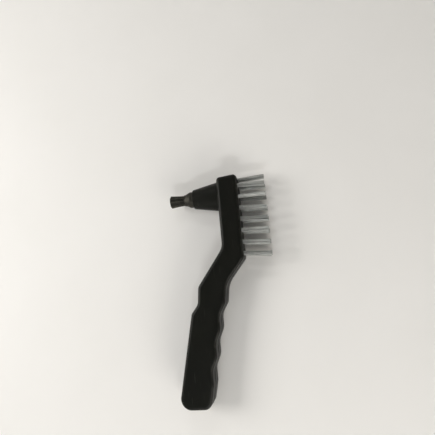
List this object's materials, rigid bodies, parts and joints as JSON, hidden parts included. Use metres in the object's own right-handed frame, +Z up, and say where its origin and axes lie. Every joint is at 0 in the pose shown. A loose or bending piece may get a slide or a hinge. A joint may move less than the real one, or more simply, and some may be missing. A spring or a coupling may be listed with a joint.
{
  "type": "wire brush",
  "caption": "Hand wire brush with a bent moulded handle and finger grip, rows of steel tufts on its head and a round end brush on a conical stub.",
  "frame": {"origin": "middle of the footprint, on the flat side that the brush lies on", "axes": "+Z up through the thickness, +Y from the grip towards the nose of the head, +X the way the tufts point"},
  "size_m": [0.0574, 0.127, 0.015],
  "materials": {
    "handle_plastic": "black moulded plastic, satin",
    "tuft_wire": "drawn steel wire, bright",
    "staple_steel": "cold rolled strip, bare",
    "ferrule_steel": "dark oiled steel, drawn",
    "round_wire": "dark tempered wire"
  },
  "bodies": {
    "root": {"handle": "handle_plastic", "tuft_1_a": "tuft_wire", "staple_1_a": "staple_steel", "tuft_1_b": "tuft_wire", "staple_1_b": "staple_steel", "tuft_2_a": "tuft_wire", "staple_2_a": "staple_steel", "tuft_2_b": "tuft_wire", "staple_2_b": "staple_steel", "tuft_3_a": "tuft_wire", "staple_3_a": "staple_steel", "tuft_3_b": "tuft_wire", "staple_3_b": "staple_steel", "tuft_4_a": "tuft_wire", "staple_4_a": "staple_steel", "tuft_4_b": "tuft_wire", "staple_4_b": "staple_steel", "tuft_5_a": "tuft_wire", "staple_5_a": "staple_steel", "tuft_5_b": "tuft_wire", "staple_5_b": "staple_steel", "tuft_6_a": "tuft_wire", "staple_6_a": "staple_steel", "tuft_6_b": "tuft_wire", "staple_6_b": "staple_steel", "tuft_7_a": "tuft_wire", "staple_7_a": "staple_steel", "tuft_7_b": "tuft_wire", "staple_7_b": "staple_steel", "tuft_nose": "tuft_wire", "staple_nose": "staple_steel", "round_brush_ferrule": "ferrule_steel", "round_brush_wires": "round_wire"}
  },
  "joints": []
}
